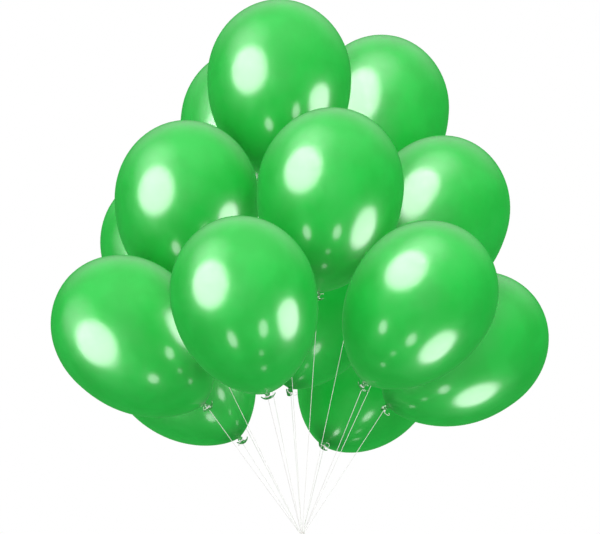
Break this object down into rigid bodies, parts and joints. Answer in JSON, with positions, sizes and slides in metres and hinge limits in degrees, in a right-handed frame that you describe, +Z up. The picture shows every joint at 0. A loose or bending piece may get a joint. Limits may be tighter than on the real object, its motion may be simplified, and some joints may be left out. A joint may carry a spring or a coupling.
{
  "type": "bunch of latex balloons",
  "caption": "Bunch of inflated round latex balloons, each tied off at its neck and hitched to its own taut string, with all strings knotted together at one gather point.",
  "frame": {"origin": "middle of the gather knot, where all strings meet and a hand, weight or hook holds the bunch", "axes": "+Z up, -Y towards the viewer of the front, +X to the viewer's right"},
  "size_m": [0.9753, 1.1076, 1.1122],
  "materials": {
    "green_latex": "pearlescent green latex stretched thin, glossy, slightly translucent at its edges",
    "white_string": "matt white twisted cotton string"
  },
  "bodies": {
    "gather": {"gather_knot": "white_string", "string_ends": "white_string", "balloon_01_string": "white_string", "balloon_02_string": "white_string", "balloon_03_string": "white_string", "balloon_04_string": "white_string", "balloon_05_string": "white_string", "balloon_06_string": "white_string", "balloon_12_string": "white_string"},
    "balloon_01": {"balloon_01_envelope": "green_latex", "balloon_01_tied_neck": "green_latex", "balloon_01_hitch": "white_string"},
    "balloon_02": {"balloon_02_envelope": "green_latex", "balloon_02_tied_neck": "green_latex", "balloon_02_hitch": "white_string"},
    "balloon_03": {"balloon_03_envelope": "green_latex", "balloon_03_tied_neck": "green_latex", "balloon_03_hitch": "white_string"},
    "balloon_04": {"balloon_04_envelope": "green_latex", "balloon_04_tied_neck": "green_latex", "balloon_04_hitch": "white_string"},
    "balloon_05": {"balloon_05_envelope": "green_latex", "balloon_05_tied_neck": "green_latex", "balloon_05_hitch": "white_string"},
    "balloon_06": {"balloon_06_envelope": "green_latex", "balloon_06_tied_neck": "green_latex", "balloon_06_hitch": "white_string"},
    "string_07": {"balloon_07_string": "white_string"},
    "balloon_07": {"balloon_07_envelope": "green_latex", "balloon_07_tied_neck": "green_latex", "balloon_07_hitch": "white_string"},
    "string_08": {"balloon_08_string": "white_string"},
    "balloon_08": {"balloon_08_envelope": "green_latex", "balloon_08_tied_neck": "green_latex", "balloon_08_hitch": "white_string"},
    "string_09": {"balloon_09_string": "white_string"},
    "balloon_09": {"balloon_09_envelope": "green_latex", "balloon_09_tied_neck": "green_latex", "balloon_09_hitch": "white_string"},
    "string_10": {"balloon_10_string": "white_string"},
    "balloon_10": {"balloon_10_envelope": "green_latex", "balloon_10_tied_neck": "green_latex", "balloon_10_hitch": "white_string"},
    "string_11": {"balloon_11_string": "white_string"},
    "balloon_11": {"balloon_11_envelope": "green_latex", "balloon_11_tied_neck": "green_latex", "balloon_11_hitch": "white_string"},
    "balloon_12": {"balloon_12_envelope": "green_latex", "balloon_12_tied_neck": "green_latex", "balloon_12_hitch": "white_string"},
    "string_13": {"balloon_13_string": "white_string"},
    "balloon_13": {"balloon_13_envelope": "green_latex", "balloon_13_tied_neck": "green_latex", "balloon_13_hitch": "white_string"},
    "string_14": {"balloon_14_string": "white_string"},
    "balloon_14": {"balloon_14_envelope": "green_latex", "balloon_14_tied_neck": "green_latex", "balloon_14_hitch": "white_string"}
  },
  "joints": [
    {"name": "tilt_01", "type": "hinge", "parent": "gather", "child": "balloon_01", "pos_m": [-0.04436, 0.00041, 0.70084], "axis": [-0.9397, -0.342, 0], "range_deg": [0, 4], "stiffness_Nm_per_rad": 0.031, "springref_deg": -14.32},
    {"name": "tilt_02", "type": "hinge", "parent": "gather", "child": "balloon_02", "pos_m": [0.14108, 0.06015, 0.65889], "axis": [-0.9063, 0.4226, 0], "range_deg": [0, 25], "stiffness_Nm_per_rad": 0.031, "springref_deg": -24.69},
    {"name": "tilt_03", "type": "hinge", "parent": "gather", "child": "balloon_03", "pos_m": [-0.13078, 0.12741, 0.64798], "axis": [0.5, -0.866, 0], "range_deg": [0, 8], "stiffness_Nm_per_rad": 0.031, "springref_deg": -14.32},
    {"name": "tilt_04", "type": "hinge", "parent": "gather", "child": "balloon_04", "pos_m": [-0.22135, -0.07871, 0.45917], "axis": [-0.6428, -0.766, 0], "range_deg": [0, 25], "stiffness_Nm_per_rad": 0.031, "springref_deg": -14.32},
    {"name": "tilt_05", "type": "hinge", "parent": "gather", "child": "balloon_05", "pos_m": [0.03131, -0.18733, 0.47928], "axis": [0.7071, -0.7071, 0], "range_deg": [0, 8], "stiffness_Nm_per_rad": 0.031, "springref_deg": -14.32},
    {"name": "tilt_06", "type": "hinge", "parent": "gather", "child": "balloon_06", "pos_m": [0.1971, -0.08323, 0.43708], "axis": [0.7071, 0.7071, 0], "range_deg": [0, 20], "stiffness_Nm_per_rad": 0.031, "springref_deg": -14.32},
    {"name": "swing_07", "type": "hinge", "parent": "gather", "child": "string_07", "pos_m": [0, 0, 0], "axis": [-0.866, -0.5, 0], "range_deg": [0, 30], "stiffness_Nm_per_rad": 0.103, "springref_deg": -33.98},
    {"name": "tilt_07", "type": "hinge", "parent": "string_07", "child": "balloon_07", "pos_m": [-0.20527, 0.25429, 0.37826], "axis": [-0.866, -0.5, 0], "range_deg": [0, 25], "stiffness_Nm_per_rad": 0.031, "springref_deg": -17.7},
    {"name": "swing_08", "type": "hinge", "parent": "gather", "child": "string_08", "pos_m": [0, 0, 0], "axis": [0.5, -0.866, 0], "range_deg": [0, 30], "stiffness_Nm_per_rad": 0.088, "springref_deg": -45.84},
    {"name": "tilt_08", "type": "hinge", "parent": "string_08", "child": "balloon_08", "pos_m": [-0.18207, -0.22591, 0.26527], "axis": [0.5, -0.866, 0], "range_deg": [0, 25], "stiffness_Nm_per_rad": 0.031, "springref_deg": -46.41},
    {"name": "swing_09", "type": "hinge", "parent": "gather", "child": "string_09", "pos_m": [0, 0, 0], "axis": [0.9962, -0.0872, 0], "range_deg": [0, 30], "stiffness_Nm_per_rad": 0.097, "springref_deg": -43.03},
    {"name": "tilt_09", "type": "hinge", "parent": "string_09", "child": "balloon_09", "pos_m": [-0.06569, -0.35529, 0.29292], "axis": [0.9962, -0.0872, 0], "range_deg": [0, 25], "stiffness_Nm_per_rad": 0.031, "springref_deg": -24.87},
    {"name": "swing_10", "type": "hinge", "parent": "gather", "child": "string_10", "pos_m": [0, 0, 0], "axis": [0.866, 0.5, 0], "range_deg": [0, 30], "stiffness_Nm_per_rad": 0.094, "springref_deg": -41.65},
    {"name": "tilt_10", "type": "hinge", "parent": "string_10", "child": "balloon_10", "pos_m": [0.11584, -0.29403, 0.30818], "axis": [0.866, 0.5, 0], "range_deg": [0, 25], "stiffness_Nm_per_rad": 0.031, "springref_deg": -33.12},
    {"name": "swing_11", "type": "hinge", "parent": "gather", "child": "string_11", "pos_m": [0, 0, 0], "axis": [-0.342, 0.9397, 0], "range_deg": [0, 30], "stiffness_Nm_per_rad": 0.076, "springref_deg": -42.8},
    {"name": "tilt_11", "type": "hinge", "parent": "string_11", "child": "balloon_11", "pos_m": [0.16397, 0.04104, 0.24855], "axis": [-0.342, 0.9397, 0], "range_deg": [0, 25], "stiffness_Nm_per_rad": 0.031, "springref_deg": -55.35},
    {"name": "tilt_12", "type": "hinge", "parent": "gather", "child": "balloon_12", "pos_m": [-0.02273, 0.11349, 0.27931], "axis": [-0.7071, -0.7071, 0], "range_deg": [0, 3], "stiffness_Nm_per_rad": 0.031, "springref_deg": -14.32},
    {"name": "swing_13", "type": "hinge", "parent": "gather", "child": "string_13", "pos_m": [0, 0, 0], "axis": [-0.9848, 0.1736, 0], "range_deg": [0, 30], "stiffness_Nm_per_rad": 0.076, "springref_deg": -51.28},
    {"name": "tilt_13", "type": "hinge", "parent": "string_13", "child": "balloon_13", "pos_m": [0.04591, 0.25505, 0.16472], "axis": [-0.9848, 0.1736, 0], "range_deg": [0, 25], "stiffness_Nm_per_rad": 0.031, "springref_deg": -41.42},
    {"name": "swing_14", "type": "hinge", "parent": "gather", "child": "string_14", "pos_m": [0, 0, 0], "axis": [-0.1736, -0.9848, 0], "range_deg": [0, 30], "stiffness_Nm_per_rad": 0.064, "springref_deg": -37.07},
    {"name": "tilt_14", "type": "hinge", "parent": "string_14", "child": "balloon_14", "pos_m": [-0.12016, 0.01911, 0.18595], "axis": [-0.1736, -0.9848, 0], "range_deg": [0, 25], "stiffness_Nm_per_rad": 0.031, "springref_deg": -41.65}
  ]
}
